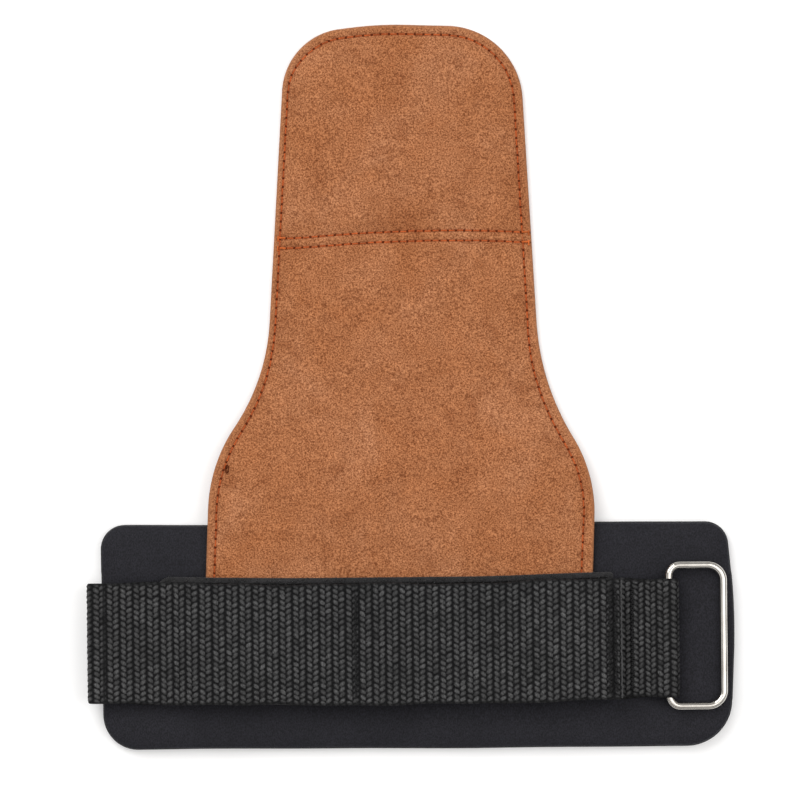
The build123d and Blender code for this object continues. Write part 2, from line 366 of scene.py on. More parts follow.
class Look:
    """A small builder for one procedural material."""

    def __init__(self, name, roughness, **values):
        self.material = bpy.data.materials.new(name)
        self.material.use_nodes = True
        self.tree = self.material.node_tree
        self.shader = self.tree.nodes["Principled BSDF"]
        self.shader.inputs["Roughness"].default_value = roughness
        for key, value in values.items():
            self.shader.inputs[key.replace("_", " ")].default_value = value
        self.position = self.node("ShaderNodeTexCoord").outputs["Object"]

    def node(self, kind, **values):
        made = self.tree.nodes.new(kind)
        for key, value in values.items():
            setattr(made, key, value)
        return made

    def link(self, source, target):
        self.tree.links.new(source, target)

    def noise(self, per_mm, detail=3.0, rough=0.6, stretch=None, distortion=0.0):
        """Noise with about per_mm bumps in each millimetre."""
        made = self.node("ShaderNodeTexNoise")
        made.inputs["Scale"].default_value = per_mm * 1000
        made.inputs["Detail"].default_value = detail
        made.inputs["Roughness"].default_value = rough
        made.inputs["Distortion"].default_value = distortion
        source = self.position
        if stretch:
            mapping = self.node("ShaderNodeMapping")
            mapping.inputs["Scale"].default_value = stretch
            self.link(self.position, mapping.inputs["Vector"])
            source = mapping.outputs["Vector"]
        self.link(source, made.inputs["Vector"])
        return made.outputs["Fac"]

    def attribute(self, name):
        return self.node("ShaderNodeAttribute", attribute_name=name).outputs["Fac"]

    def ramp(self, source, *stops):
        made = self.node("ShaderNodeValToRGB")
        set_stops(made, stops)
        self.link(source, made.inputs["Fac"])
        return made.outputs["Color"]

    def blend(self, mode, factor, a, b):
        made = self.node("ShaderNodeMix", data_type="RGBA", blend_type=mode)
        for key, value in (("Factor", factor), ("A", a), ("B", b)):
            socket = made.inputs[key]
            if isinstance(value, (int, float)) and socket.type == "VALUE":
                socket.default_value = value
            elif isinstance(value, tuple):
                socket.default_value = (*value, 1)
            else:
                self.link(value, socket)
        return made.outputs["Result"]

    def tinted(self, base, source, *stops):
        """A colour multiplied by a ramp over another source."""
        return self.blend("MULTIPLY", 1.0, base, self.ramp(source, *stops))

    def colour(self, source):
        self.link(source, self.shader.inputs["Base Color"])
        return self

    def roughness(self, source):
        self.link(source, self.shader.inputs["Roughness"])
        return self

    def bump(self, *layers):
        """Each layer is (height source, height in mm)."""
        below = None
        for source, height in layers:
            made = self.node("ShaderNodeBump")
            made.inputs["Distance"].default_value = height * 0.001
            self.link(source, made.inputs["Height"])
            if below:
                self.link(below, made.inputs["Normal"])
            below = made.outputs["Normal"]
        self.link(below, self.shader.inputs["Normal"])
        return self


def suede_look():
    sheen = {"Sheen_Weight": 0.14, "Sheen_Roughness": 0.45, "Sheen_Tint": (1.0, 0.62, 0.4, 1)}
    look = Look("suede", 0.93, Specular_IOR_Level=0.12, **sheen)
    grain = look.noise(2.0, 2, 0.8)
    nap = look.noise(0.75, 4, 0.65)
    patch = look.noise(0.11, 4, 0.6, distortion=0.8)
    cloud = look.noise(0.045, 3, 0.6, distortion=0.6)
    dark, middle, pale = (0.3, 0.109, 0.042), (0.328, 0.127, 0.0535), (0.36, 0.15, 0.07)
    base = look.ramp(cloud, (0.3, dark), (0.52, middle), (0.75, pale))
    base = look.tinted(base, patch, (0.3, (0.84, 0.78, 0.74)), (0.45, 1.0), (0.7, 1.1))
    base = look.tinted(base, nap, (0.3, (0.91, 0.85, 0.81)), (0.5, 1.0), (0.7, 1.1))
    dark_grain, pale_grain = (0.49, 0.38, 0.31), (1.57, 1.68, 1.73)
    base = look.tinted(base, grain, (0.36, dark_grain), (0.5, 1.0), (0.64, pale_grain))
    base = look.blend("MIX", look.attribute("rim"), base, (0.41, 0.182, 0.085))
    # Mixed towards dark brown: painted shade in the stitch grooves and along the sunk seam rows, and on
    # the side wall, whose cut edge is also darker.
    base = look.blend("MIX", look.attribute("painted_shade"), base, (0.22, 0.055, 0.017))
    return look.colour(base).bump((nap, 0.12), (grain, 0.12)).material


def edge_look():
    """The cut edge and flesh side of the leather."""
    look = Look("leather_back", 0.95, Specular_IOR_Level=0.15, Sheen_Weight=0.15, Sheen_Roughness=0.5)
    grain = look.noise(1.3, 5, 0.75)
    cloud = look.noise(0.09, 3, 0.6)
    base = look.ramp(cloud, (0.3, (0.27, 0.1, 0.04)), (0.7, (0.36, 0.148, 0.065)))
    base = look.tinted(base, grain, (0.34, (0.5, 0.42, 0.36)), (0.5, 0.98), (0.66, 1.45))
    return look.colour(base).bump((grain, 0.22)).material


def band_look():
    sheen = {"Sheen_Weight": 0.16, "Sheen_Roughness": 0.4, "Sheen_Tint": (0.55, 0.6, 0.75, 1)}
    look = Look("band_fabric", 0.8, Specular_IOR_Level=0.25, **sheen)
    knit = look.noise(2.9, 2, 0.5, stretch=(1.0, 0.6, 1.0))
    lint = look.noise(1.1, 5, 0.8)
    cloud = look.noise(0.05, 3, 0.6)
    base = look.ramp(cloud, (0.3, (0.0102, 0.0099, 0.0135)), (0.7, (0.0138, 0.0134, 0.0178)))
    base = look.tinted(base, knit, (0.35, 0.5), (0.65, 1.5))
    base = look.blend("ADD", 1.0, base, look.ramp(lint, (0.62, 0.0), (0.76, 0.028)))
    return look.colour(base).bump((knit, 0.09), (lint, 0.05)).material


def foam_look():
    look = Look("band_foam", 0.85, Specular_IOR_Level=0.3)
    pores = look.node("ShaderNodeTexVoronoi")
    pores.inputs["Scale"].default_value = 2600
    look.link(look.position, pores.inputs["Vector"])
    cell = pores.outputs["Distance"]
    cloud = look.noise(0.3, 4, 0.7)
    # The colour follows the pore cells: painted shade, darkest in the hollow of each pore, where the bump
    # is lowest.
    base = look.ramp(cell, (0.05, (0.006, 0.006, 0.007)), (0.5, (0.026, 0.026, 0.028)))
    base = look.tinted(base, cloud, (0.3, 0.7), (0.7, 1.3))
    return look.colour(base).bump((cell, 0.18)).material


def webbing_look():
    look = Look("webbing", 0.5, Specular_IOR_Level=0.24)
    relief = look.attribute("relief")
    fibre = look.noise(2.4, 3, 0.7, stretch=(1.0, 0.6, 1.0))
    cloud = look.noise(0.05, 2, 0.5)
    valley_shade, flank, crest_highlight = (0.003, 0.003, 0.0035), (0.0105, 0.0105, 0.011), (0.046, 0.046, 0.0465)
    # The colour follows the relief: painted shade in the valleys between the knots, and a painted
    # highlight on their crests.
    base = look.ramp(relief, (0.05, valley_shade), (0.5, flank), (0.97, crest_highlight))
    base = look.tinted(base, look.attribute("tone"), (0.0, 0.55), (1.0, 1.45))
    base = look.tinted(base, fibre, (0.36, 0.4), (0.64, 1.55))
    base = look.tinted(base, cloud, (0.3, 0.82), (0.7, 1.15))
    rough = look.tinted(look.ramp(relief, (0.3, 1.0), (0.9, 0.55)), fibre, (0.3, 1.0), (0.7, 0.8))
    return look.colour(base).roughness(rough).bump((fibre, 0.05)).material


def tape_look(name, low, high, rough):
    look = Look(name, rough, Specular_IOR_Level=0.3, Sheen_Weight=0.2, Sheen_Roughness=0.4)
    fuzz = look.noise(3.0, 4, 0.7)
    cloud = look.noise(0.15, 3, 0.6)
    base = look.ramp(fuzz, (0.3, low), (0.7, high))
    base = look.tinted(base, cloud, (0.3, 0.75), (0.7, 1.2))
    return look.colour(base).bump((fuzz, 0.15)).material


def thread_look(name, dark, light):
    look = Look(name, 0.65, Specular_IOR_Level=0.15)
    fibre = look.noise(6.0, 3, 0.6)
    cloud = look.noise(0.35, 2, 0.5)
    base = look.ramp(fibre, (0.3, dark), (0.7, light))
    base = look.tinted(base, cloud, (0.3, 0.7), (0.7, 1.25))
    return look.colour(base).bump((fibre, 0.05)).material


def hole_shade_look():
    look = Look("needle_hole_shade", 0.95, Specular_IOR_Level=0.05)
    fibre = look.noise(5.0, 2, 0.5)
    # Painted shade: the dark inside of a needle hole. The loose knot uses the same colours.
    base = look.ramp(fibre, (0.3, (0.055, 0.011, 0.004)), (0.7, (0.13, 0.027, 0.009)))
    return look.colour(base).material


def ring_look():
    look = Look("nickel", 0.1, Metallic=1.0)
    scratch = look.noise(0.9, 4, 0.65, stretch=(1.0, 0.25, 1.0))
    smear = look.noise(0.12, 3, 0.6)
    base = look.ramp(smear, (0.3, (0.5, 0.47, 0.43)), (0.7, (0.68, 0.66, 0.62)))
    rough = look.ramp(scratch, (0.3, 0.05), (0.75, 0.16))
    return look.colour(base).roughness(rough).bump((scratch, 0.006)).material


SUEDE = suede_look()
LEATHER_BACK = edge_look()
BAND = band_look()
FOAM = foam_look()
WEB = webbing_look()
LOOPS = tape_look("loop_tape", (0.004, 0.004, 0.005), (0.04, 0.039, 0.04), 0.9)
HOOKS = tape_look("hook_tape", (0.006, 0.006, 0.007), (0.02, 0.02, 0.022), 0.45)
MELTED = tape_look("melted_end", (0.02, 0.02, 0.021), (0.075, 0.075, 0.077), 0.35)
THREAD = thread_look("orange_thread", (0.31, 0.058, 0.013), (0.57, 0.12, 0.029))
BRIGHT_THREAD = thread_look("bright_orange_thread", (0.4, 0.085, 0.018), (0.68, 0.165, 0.038))
BLACK_THREAD = thread_look("black_thread", (0.004, 0.004, 0.004), (0.022, 0.022, 0.023))
HOLE_SHADE_AND_KNOT = hole_shade_look()
NICKEL = ring_look()


# ---- Camera, lights and floor
def make_camera():
    """Looks straight down, from far enough to be nearly parallel."""
    data = bpy.data.cameras.new("camera")
    data.sensor_width = 36
    distance = 3.0
    data.lens = 36 * (distance - 0.01) / 0.2512
    data.clip_end = 20
    bpy.context.scene.camera = placed("camera", data, (-0.0055, 0.0744, distance))


def make_light(name, place, size, power):
    """A square soft light that faces the middle of the object."""
    data = bpy.data.lights.new(name, "AREA")
    data.shape = "RECTANGLE"
    data.size, data.size_y = size
    data.energy = power
    aim = np.array([0, 0.08, 0]) - np.array(place)
    tilt = atan2((aim[0] ** 2 + aim[1] ** 2) ** 0.5, -aim[2])
    placed(name, data, place).rotation_euler = (tilt, 0, atan2(aim[1], aim[0]) - pi / 2)


def make_studio():
    """A pale floor under soft lights."""
    look = Look("floor", 0.9)
    speck = look.noise(0.02, 3, 0.5)
    look.colour(look.ramp(speck, (0.3, (0.8, 0.8, 0.8)), (0.7, (0.82, 0.82, 0.82))))
    look.shader.inputs["Emission Color"].default_value = (1, 1, 1, 1)
    look.shader.inputs["Emission Strength"].default_value = 0.2
    corners = np.array([(-1, -1, 0), (1, -1, 0), (1, 1, 0), (-1, 1, 0)]) * 3000 - [0, 0, 0.05]
    make_object("floor", corners, np.array([[0, 1, 2, 3]]), look.material)
    world = bpy.data.worlds.new("studio")
    world.use_nodes = True
    tree = world.node_tree
    background = tree.nodes["Background"]
    background.inputs["Strength"].default_value = 0.74
    direction = tree.nodes.new("ShaderNodeTexCoord").outputs["Generated"]
    split = tree.nodes.new("ShaderNodeSeparateXYZ")
    ramp = tree.nodes.new("ShaderNodeValToRGB")
    tree.links.new(direction, split.inputs["Vector"])
    tree.links.new(split.outputs["Z"], ramp.inputs["Fac"])
    tree.links.new(ramp.outputs["Color"], background.inputs["Color"])
    heights = (0.0, 0.3, 0.42, 0.58, 0.68, 0.82, 0.9, 1.0)
    levels = (0.03, 0.05, 1.3, 1.5, 0.12, 0.12, 1.75, 1.9)
    warm = [(level, level * 0.985, level * 0.97) for level in levels]
    set_stops(ramp, list(zip(heights, warm)))
    bpy.context.scene.world = world
    make_light("key", (-0.55, 0.75, 1.0), (0.9, 0.7), 9.6)
    make_light("fill", (0.8, 0.1, 1.1), (0.9, 0.9), 4.8)
    bpy.context.scene.view_settings.view_transform = "Standard"


make_camera()
make_studio()


# ---- Suede flap
FLAP = filleted(FLAP_CORNERS, FLAP_RADII, 0.65)
FLAP_IN = inward(FLAP)
ROW_CURVE = np.polyfit(
    [-45, -42, -37, -30.6, -22.8, -18, -11.8, 0.8, 11, 21, 30, 35.6],
    [122.1, 122.2, 122.3, 122.8, 123.4, 123.75, 124.1, 124.45, 124.65, 124.55, 124.25, 124.0],
    6,
)


def row_y(x, row):
    """The y of one of the two stitched rows across the flap, ROW_GAP apart."""
    return np.polyval(ROW_CURVE, x) + row * ROW_GAP


def row_inset(x, y):
    """How far from the suede's edge the row of stitches runs. The hand-guided seam wanders."""
    left = np.interp(y, [20, 60, 75, 95, 170, 188], [2.55, 2.65, 2.3, 1.75, 1.7, 2.3])
    right = np.interp(y, [16, 45, 60, 85, 100, 188], [3.6, 3.1, 3.2, 3.2, 2.7, 2.6])
    side = np.where(x < FLAP[:, 0].mean(), left, right)
    return side + (2.8 - side) * smooth((y - 176) / 12)


def flap_base(y):
    """How high the flap's underside lies: on the band, then down to the table."""
    return BAND_TOP * (1 - smooth((y - DRAPE[0]) / (DRAPE[1] - DRAPE[0])))


def from_stitches(x, y, distance):
    """How far places on the flap are from the nearest row of stitches, and negative outside."""
    from_rows = np.where(y > row_y(x, 0.5), y - row_y(x, 1), row_y(x, 0) - y)
    return np.minimum(distance - row_inset(x, y), from_rows)


CLOTH_SIZE = 10


def simulated_puff():
    """Blows the face ply up over its pads with a cloth simulation, held at its stitches.

    The cloth is simulated at CLOTH_SIZE times its size. Returns a function that gives its height.
    """
    to_mm = 1000 / CLOTH_SIZE
    outline = filleted(FLAP_CORNERS, FLAP_RADII, 2.4)
    points, triangles, distance = plan_mesh(outline, [1.4, 3.0, 5.0], 2.6)
    x, y = points.T
    flat = np.column_stack([points, np.zeros(len(points))])
    sheet = make_object("puff", flat * CLOTH_SIZE, triangles, SUEDE)
    held = (from_stitches(x, y, distance) < 0.7) | (y < 26)
    pins = sheet.vertex_groups.new(name="held")
    pins.add(np.where(held)[0].tolist(), 1.0, "REPLACE")
    settings = sheet.modifiers.new("cloth", "CLOTH").settings
    settings.quality = 6
    settings.vertex_group_mass = "held"
    settings.tension_stiffness = settings.compression_stiffness = 12
    settings.bending_stiffness = 0.35
    settings.use_pressure = True
    settings.uniform_pressure_force = 4
    settings.shrink_min = -0.012
    settings.effector_weights.gravity = 0
    sheet.modifiers.new("rounded", "SUBSURF").levels = 2
    for step in range(1, 21):
        bpy.context.scene.frame_set(step)
    shaped = sheet.evaluated_get(bpy.context.evaluated_depsgraph_get())
    corners = [v.co.copy() for v in shaped.data.vertices]
    tree = BVHTree.FromPolygons(corners, [tuple(p.vertices) for p in shaped.data.polygons])
    heights = np.array([corner.z for corner in corners]) * to_mm
    bpy.context.scene.frame_set(1)
    bpy.data.objects.remove(sheet)
    full = np.percentile(np.abs(heights), 90)
    print("cloth simulation: pads rise", round(float(full), 2), "mm")

    def height(x, y):
        above = [tree.ray_cast((a / to_mm, b / to_mm, 1.0), (0, 0, -1))[0] for a, b in zip(x, y)]
        found = np.array([abs(hit.z) * to_mm if hit else 0.0 for hit in above])
        return np.clip(found / full, 0, 1.35)

    return height


FLAP_NODES = {
    ("palm", "face"): ("flap_root_face", "palm_face", "palm_foam"),
    ("palm", "back"): ("flap_root_back", "palm_back"),
    ("tip", "face"): ("tip_face", "tip_foam"),
    ("tip", "back"): ("tip_back",),
}


def make_flap():
    """Both plies, each in two halves that meet in the palm.

    Returns the plan points and heights of the suede's top.
    """
    x = np.arange(-41.0, 31.6, 0.65)
    shifts = [row * ROW_GAP + shift for row in (0, 1) for shift in (-1.0, -0.5, 0, 0.5, 1.0)]
    rows = np.concatenate([np.column_stack([x, row_y(x, 0) + shift]) for shift in shifts])
    middle = np.linspace(-46, 37, 60)
    left, right = nearest(FLAP, -47, HALVES_MEET), nearest(FLAP, 38, HALVES_MEET)
    insets = [0.12, 0.35, 0.7, 1.2, 1.7, 2.15, 2.6, 3.05, 3.5, 4.1, 4.9, 5.9, 7.1, 8.4]
    points, triangles, distance = plan_mesh(
        FLAP, insets, 1.4, ((middle, row_y(middle, 0.5)), 2.9, rows), (left, right)
    )
    x, y = points.T

    inner = from_stitches(x, y, distance)
    groove = np.exp(-(((distance - row_inset(x, y)) / 0.6) ** 2))
    nearest_row = np.minimum(np.abs(y - row_y(x, 0)), np.abs(y - row_y(x, 1)))
    seam = np.exp(-((nearest_row / 0.65) ** 2)) * smooth((distance - 1.5) / 0.8)
    tip = smooth((y - row_y(x, 1)) / 3)
    rise = smooth((inner - 0.3) / 7.5)
    puff = 0.35 * rise + 0.65 * simulated_puff()(x, y) * smooth(inner / 1.5)
    puff = puff * (0.95 + 0.4 * tip) * smooth((y - 24) / 16)
    rim = 0.42 * (1 - smooth(distance / 0.55)) ** 2
    uneven = 0.14 * waves(x, y, (22, 40), 3) * smooth(rise * 2)
    low = flap_base(y)
    top = low + 2 * PLY + puff + uneven - 0.42 * groove - 0.5 * seam - rim
    split = low + PLY + 0.3 * (top - low - 2 * PLY) * smooth(distance / 3)
    bottom = low + 0.02 + 0.14 * (1 - smooth(distance / 0.5)) ** 2
    # Painted shade: darker in the stitch grooves and along the sunk seam rows.
    painted_shade = 0.32 * groove**2 + 0.3 * seam**2
    lighter = 0.4 * (1 - smooth(distance - 0.2))

    across = FLAP[right] - FLAP[left]

    def above(places):
        return (places - FLAP[left]) @ np.array([-across[1], across[0]]) > 0

    n = len(FLAP)
    in_tip = np.tile(above(points[triangles].mean(1)), 2)
    edge_in_tip = np.tile(above((FLAP + np.roll(FLAP, -1, 0)) / 2), 2)
    tris, quads = shell_faces(triangles, len(points), n, 1)
    face = ("face", top, split + 0.03, 0.0, SUEDE)
    back = ("back", split - 0.03, bottom, 0.18, LEATHER_BACK)
    for ply, high, low, inset, material in (face, back):
        upper = np.column_stack([points, high])
        lower = np.column_stack([points, low])
        for part in (upper, lower):
            part[:n, :2] += FLAP_IN * inset
        wall = (upper[:n] + lower[:n]) / 2
        wall[:, :2] -= FLAP_IN * 0.12
        verts = np.concatenate([upper, lower, wall])
        halved = [quads[:, [0, 1, 2]], quads[:, [0, 2, 3]]]
        normals = vertex_normals(verts, np.concatenate([tris, *halved]))
        # The side wall gets a fixed 0.3: painted shade, with the darker cut edge.
        painted_shade_and_edge = np.concatenate([painted_shade, painted_shade, np.full(n, 0.3)])
        pale = np.concatenate([lighter, lighter, np.zeros(n)])
        for half in ("palm", "tip"):
            half_tris = tris[in_tip == (half == "tip")]
            half_quads = quads[edge_in_tip == (half == "tip")]
            used = np.unique(np.concatenate([half_tris.ravel(), half_quads.ravel()]))
            place = np.full(len(verts), -1)
            place[used] = np.arange(len(used))
            faces = [place[half_tris], place[half_quads]]
            looks = {"painted_shade": painted_shade_and_edge[used], "rim": pale[used]}
            piece = make_object(f"suede_{half}_{ply}", verts[used], faces, material, looks, normals[used])
            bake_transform(piece)
            finished(piece, "suede", None, *FLAP_NODES[half, ply])
    return points, top


FLAP_TOP = make_flap()


def surface_height(places):
    """The suede's height at some places, from the nearest points of its mesh."""
    known, height = FLAP_TOP
    result = np.empty(len(places))
    for k, place in enumerate(places):
        near = np.argsort(((known - place) ** 2).sum(1))[:4]
        weight = 1 / (np.linalg.norm(known[near] - place, axis=1) + 0.05)
        result[k] = (height[near] * weight).sum() / weight.sum()
    return result


def thread_between(a, b, radius, sunk, arch):
    """One stitch from hole to hole: it dives at both ends."""
    t = np.linspace(0.1, 0.9, 9)
    line = a + (b - a) * t[:, None]
    line[:, :2] += rng.normal(0, 0.05, 2)
    line[:, 2] += arch * np.sin(pi * (t - 0.1) / 0.8) ** 0.6 - sunk
    return tube(line, radius, 8, twist=0.9, lobes=0.13, taper=5)


def needle_hole_shade(place, along):
    """A nearly flat dark patch, drawn out along the row: painted shade for a needle hole."""
    turn = np.linspace(0, 2 * pi, 10, endpoint=False)
    across = np.array([-along[1], along[0]])
    rings = []
    for size, drop in ((1.0, 0.0), (0.7, 0.03), (0.05, 0.05)):
        plan = np.outer(np.cos(turn) * 0.56 * size, along) + np.outer(np.sin(turn) * 0.4 * size, across)
        rings.append(np.column_stack([plan, np.full(10, drop)]) + place)
    index = np.arange(30).reshape(3, 10)
    return np.concatenate(rings), quads_between(index[:-1], index[1:])


def stitches(path):
    """A row of stitches from hole to hole along a plan path: threads, and dark needle holes painted as
    flat patches of shade.
    """
    places = np.column_stack([path, surface_height(path)])
    threads = [thread_between(a, b, 0.22, 0.02, 0.16) for a, b in zip(places, places[1:])]
    along = unit(np.gradient(path, axis=0))
    holes = [needle_hole_shade(place + [0, 0, 0.09], way) for place, way in zip(places, along)]
    return threads, holes


def make_flap_stitches():
    """The row round the flap's edge, the two rows across it, and the brighter crossed ends."""
    path = FLAP + FLAP_IN * row_inset(*FLAP.T)[:, None]
    path = path[edge_distance(path, FLAP) > 1.4]
    path = np.roll(path, -nearest(path, 52, 5), 0)
    path = resampled(path[path[:, 1] > 4], SIDE_STITCH, closed=False)
    threads, dots = stitches(path)
    groups, holes, ties = {}, {}, []
    for half, chosen in (("palm", path[:, 1] < HALVES_MEET), ("tip", path[:, 1] >= HALVES_MEET)):
        groups[f"{half}_edge"] = [thread for thread, here in zip(threads, chosen) if here]
        holes[half] = [dot for dot, here in zip(dots, chosen) if here]
    for row, name in enumerate(("palm_row", "tip_row")):
        x = np.linspace(-43.9, 35.1, 200)
        line = resampled(np.column_stack([x, row_y(x, row)]), ROW_STITCH, closed=False)
        groups[name], dots = stitches(line)
        holes["tip"] += dots
        for end, inner in ((line[0], line[1]), (line[-1], line[-2])):
            for first, last in (((0, -1.2), (0, 1.0)), ((0.1, 0.25), (0.1, 0.1))):
                ends = np.array([end + first, (inner if first[1] > 0 else end) + last])
                ends = np.column_stack([ends, surface_height(ends) + 0.14])
                ties.append(thread_between(*ends, 0.27, 0.0, 0.2))
    return groups, holes, ties


thread_groups, hole_shade_groups, ties = make_flap_stitches()
for name, threads in thread_groups.items():
    piece = make_object(f"thread_{name}", *joined(threads), THREAD)
    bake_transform(piece)
    finished(piece, "thread", None, name.replace("edge", "stitching").replace("row", "seam_stitching"))
# The needle holes: flat dark patches of painted shade.
for name, dots in hole_shade_groups.items():
    piece = make_object(f"needle_holes_{name}", *joined(dots), HOLE_SHADE_AND_KNOT)
    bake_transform(piece)
crossed = make_object("thread_row_ends", *joined(ties), BRIGHT_THREAD)
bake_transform(crossed)


def make_loose_knot():
    """A small dark knot of thread that sticks out of the palm's left edge."""
    t = np.linspace(0, 1, 60)
    angle = t * 3.1 * pi
    size = 0.3 + 0.5 * t
    x = -60.2 + size * np.cos(angle) * 0.75 + 0.5 * t
    plan = np.column_stack([x, 52.6 + size * np.sin(angle) * 1.9])
    height = surface_height(plan) + 0.22 + 0.3 * np.sin(t * pi * 3) ** 2
    piece = make_object("loose_knot", *tube(np.column_stack([plan, height]), 0.17, 7, taper=12), HOLE_SHADE_AND_KNOT)
    finished(piece, "thread", "palm")


make_loose_knot()


# ---- Wrist band
def make_band():
    """Lining, foam and cover, soft at the edges and slightly uneven."""
    outline = filleted(BAND_CORNERS, BAND_RADII, 1.0)
    normal = inward(outline)
    insets = [0.15, 0.4, 0.8, 1.4, 2.2, 3.2, 4.6, 6.2]
    points, triangles, distance = plan_mesh(outline, insets, 2.0)
    x, y = points.T
    wobble = 0.22 * np.sin(outline[:, 0] / 21 + 1) + 0.12 * np.sin(outline[:, 0] / 8.3)
    wobble *= (np.abs(outline[:, 1]) > 20) * 1.0
    points[: len(outline)] -= normal * (wobble[:, None] * 0.5)
    strap_y = STRAP_Y + x * tan(STRAP_SKEW)
    flap_near = np.minimum(x + 66.5, 55.5 - x)
    covered = np.maximum(smooth((20.5 - np.abs(y - strap_y)) / 3), smooth(flap_near / 3) * (y > -12))
    crown = -1.0 * np.exp(-distance / 1.3) - 0.25 * np.exp(-distance / 6)
    uneven = 0.16 * waves(x, y, (28, 55), 5) * (1 - covered)
    lift = 0.35 * smooth(distance / 9) * (1 - covered)
    flat_top = BAND_TOP - 0.03
    top = flat_top + crown * (1 - 0.6 * covered) + uneven + lift
    top = np.where(covered > 0.98, np.minimum(top, flat_top), top)
    low = 0.02 + 0.45 * np.exp(-distance / 0.6)
    under_cover, over_lining = top - 0.62, low + 0.6
    plan = (points, triangles)
    cover = slab("wrist_band_cover", plan, top, under_cover, normal, BAND, 0.12, 2)
    core = slab("wrist_band_foam", plan, under_cover - 0.01, over_lining + 0.01, normal, FOAM, 0.55, 6)
    lining = slab("wrist_band_lining", plan, over_lining, low, normal, BAND, 0.1, 2)
    nodes = "wrist_cover", "wrist_foam", "wrist_lining"
    finishes = "band_fabric", "band_foam", "band_fabric"
    for piece, node, finish in zip((cover, core, lining), nodes, finishes):
        finished(piece, finish, "band", node)


make_band()


# ---- Webbing strap
RIB = 4.2
COLUMN = RIB / 2
FROM_MIDDLE = 0.96  # of each column of knots, from the middle of its rib
KNOTS = 21
KNOT = 2 * (HALF_WIDE - RIM) / KNOTS


def weave(s, w, seed):
    """Relief (0 to 1) and tone of the woven surface: ribs of two columns of slanted knots."""
    jitter = np.random.default_rng(seed).normal(0, 1, (4, 512, 40))
    column = np.floor(s / COLUMN).astype(int)
    right = column % 2 == 1
    slant = np.where(right, 0.66, -0.66)
    shift = np.where(right, 0.5, 0.0) * KNOT
    middle = (np.floor(s / RIB) + 0.5) * RIB + np.where(right, FROM_MIDDLE, -FROM_MIDDLE)
    row = np.floor((w - shift) / KNOT).astype(int)
    relief = np.zeros(s.shape)
    # Between the knots the tone stays low, as painted shade in the gaps; on the knots it is random.
    tone = np.full(s.shape, 0.3)
    for nearby in (-1, 0, 1):
        r = row + nearby
        pick = (column % 512, (r + 10) % 40)
        turn = slant * (1 + 0.14 * jitter[0][pick])
        du = s - middle - 0.05 * jitter[1][pick]
        dw = w - shift - (r + 0.5) * KNOT - 0.07 * jitter[2][pick]
        along = du * np.cos(turn) + dw * np.sin(turn)
        over = -du * np.sin(turn) + dw * np.cos(turn)
        height = 1 - (along / 1.34) ** 2 - (over / 0.79) ** 2
        height = np.sqrt(np.clip(height, 0, 1)) * (1 + 0.06 * jitter[3][pick])
        higher = height > relief
        relief = np.where(higher, height, relief)
        tone = np.where(higher, 0.52 + 0.14 * jitter[3][pick], tone)
    from_rib = np.abs((s / RIB) % 1 - 0.5) * 2
    groove = 1 - 0.85 * smooth((from_rib - 0.84) / 0.16)
    return np.clip(relief * groove, 0, 1), np.clip(tone, 0, 1)


def ramped(levels, x):
    """The height of a stepped line with soft ramps, as in the CAD."""
    height = np.full(len(x), float(levels[0][2]))
    for (_, end, _), (start, _, level), (_, _, before) in zip(levels, levels[1:], levels):
        share = smooth((x - end) / (start - end))
        height = np.where(x > end, before + (level - before) * share, height)
    return height


def strap_path():
    """The middle of the webbing, from its tucked end round the ring to the tail's cut end."""
    half = WEBBING / 2
    loop = 1.6 + half
    turn = np.radians(np.linspace(-90, 90, 60))
    under = [(x, RING_Z - loop) for x in np.arange(63.5, RING_X, 0.25)]
    round_ring = [(RING_X + loop * cos(a), RING_Z + loop * sin(a)) for a in turn]
    x = np.linspace(RING_X, 70, 40)[1:]
    high, low = RING_Z + loop, BASE_TOP[2][2] - half
    neck = list(zip(x, low + (high - low) * smooth((x - 70) / (RING_X - 70))))
    x = np.arange(70, FOLD_X, -0.25)[1:]
    run = list(zip(x, ramped(BASE_TOP, x) - half))
    turn = np.radians(np.linspace(270, 90, 50))
    fold = [(FOLD_X + FOLD_MEAN * cos(a), FOLD_MID + FOLD_MEAN * sin(a)) for a in turn]
    x = np.arange(FOLD_X, TAIL_END, 0.25)[1:]
    tail = list(zip(x, ramped(TAIL_LOW, x) + half))
    line = np.array(under + round_ring + neck + run + fold + tail)
    return line, lengths(line)


def strap_to_row(points):
    """Turns strap coordinates (along, across, up) into the frame's. The strap bows slightly."""
    x, w, z = points[..., 0], points[..., 1], points[..., 2]
    w = w - 0.95 * smooth((x + 103) / 75) * smooth((62 - x) / 46)
    across = x * cos(STRAP_SKEW) - w * sin(STRAP_SKEW)
    return np.stack([across, STRAP_Y + x * sin(STRAP_SKEW) + w * cos(STRAP_SKEW), z], -1)


